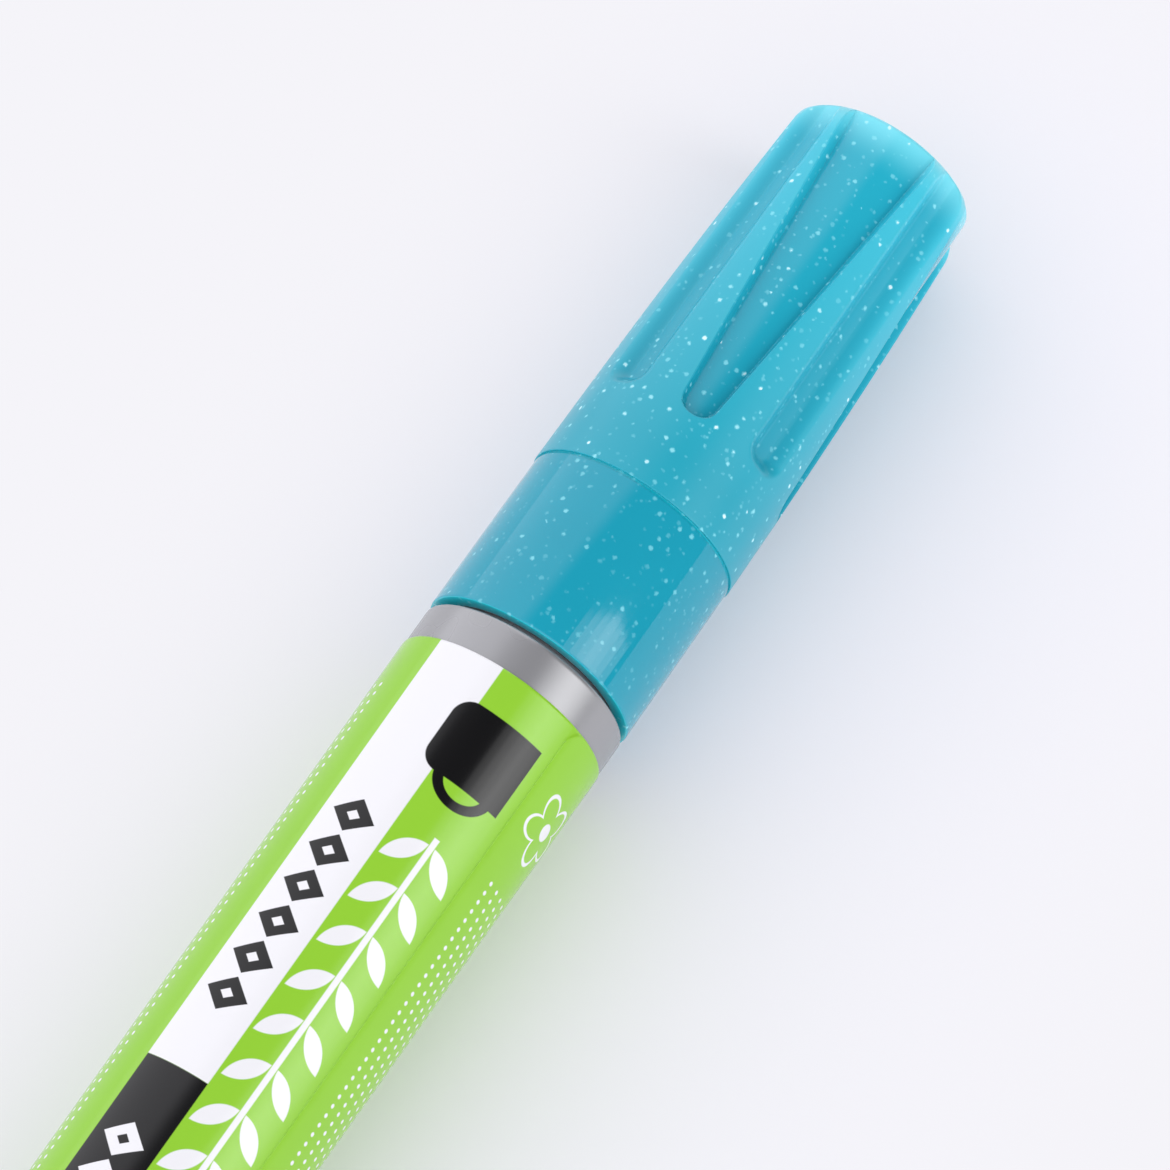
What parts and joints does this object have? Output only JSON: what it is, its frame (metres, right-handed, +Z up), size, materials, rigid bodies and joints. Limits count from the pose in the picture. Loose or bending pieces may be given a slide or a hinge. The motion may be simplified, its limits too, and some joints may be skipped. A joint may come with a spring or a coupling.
{
  "type": "paint marker",
  "caption": "Capped porcelain paint marker: drafted barrel with printed film, pull-off cap with grip pockets, press-in felt nib, sprung paint valve and loose mixing balls.",
  "frame": {"origin": "on the surface it lies on, under the middle of the marker's length", "axes": "+X along the marker toward the cap's closed end, +Z up"},
  "size_m": [0.14, 0.0152, 0.0151],
  "materials": {
    "cap_plastic": "satin turquoise plastic with glitter flecks",
    "barrel_plastic": "satin grey",
    "label_film": "printed gloss film",
    "natural_plastic": "satin natural white",
    "felt": "dense felt",
    "rubber": "matt",
    "spring_steel": "drawn wire",
    "ball_steel": "polished"
  },
  "bodies": {
    "barrel": {"barrel": "barrel_plastic", "barrel_label": "label_film", "rear_plug": "cap_plastic", "front_section": "barrel_plastic", "valve_housing": "natural_plastic", "spring_cage": "natural_plastic", "valve_spring": "spring_steel"},
    "cap": {"cap_shell": "cap_plastic", "cap_liner": "natural_plastic"},
    "nib": {"nib": "felt"},
    "valve": {"valve_stem": "natural_plastic", "valve_washer": "rubber"},
    "ball_1": {"mixing_ball_1": "ball_steel"},
    "ball_2": {"mixing_ball_2": "ball_steel"}
  },
  "joints": [
    {"name": "cap_pull", "type": "slide", "parent": "barrel", "child": "cap", "axis": [1, 0, 0], "range_m": [0, 0.045]},
    {"name": "valve_open", "type": "slide", "parent": "barrel", "child": "valve", "axis": [-1, 0, 0], "range_m": [0, 0.0025], "stiffness_N_per_m": 300, "springref_m": -0.002, "deforming": ["valve_spring"]},
    {"name": "nib_press", "type": "slide", "parent": "barrel", "child": "nib", "axis": [-1, 0, 0], "range_m": [0, 0.0025]},
    {"name": "ball_1_roll", "type": "slide", "parent": "barrel", "child": "ball_1", "axis": [1, 0, 0], "range_m": [-0.034, 0.0217]},
    {"name": "ball_2_roll", "type": "slide", "parent": "barrel", "child": "ball_2", "axis": [1, 0, 0], "range_m": [-0.027, 0.0287]}
  ],
  "couplings": [
    {"joint": "nib_press", "follows": "valve_open", "ratio": 1}
  ]
}
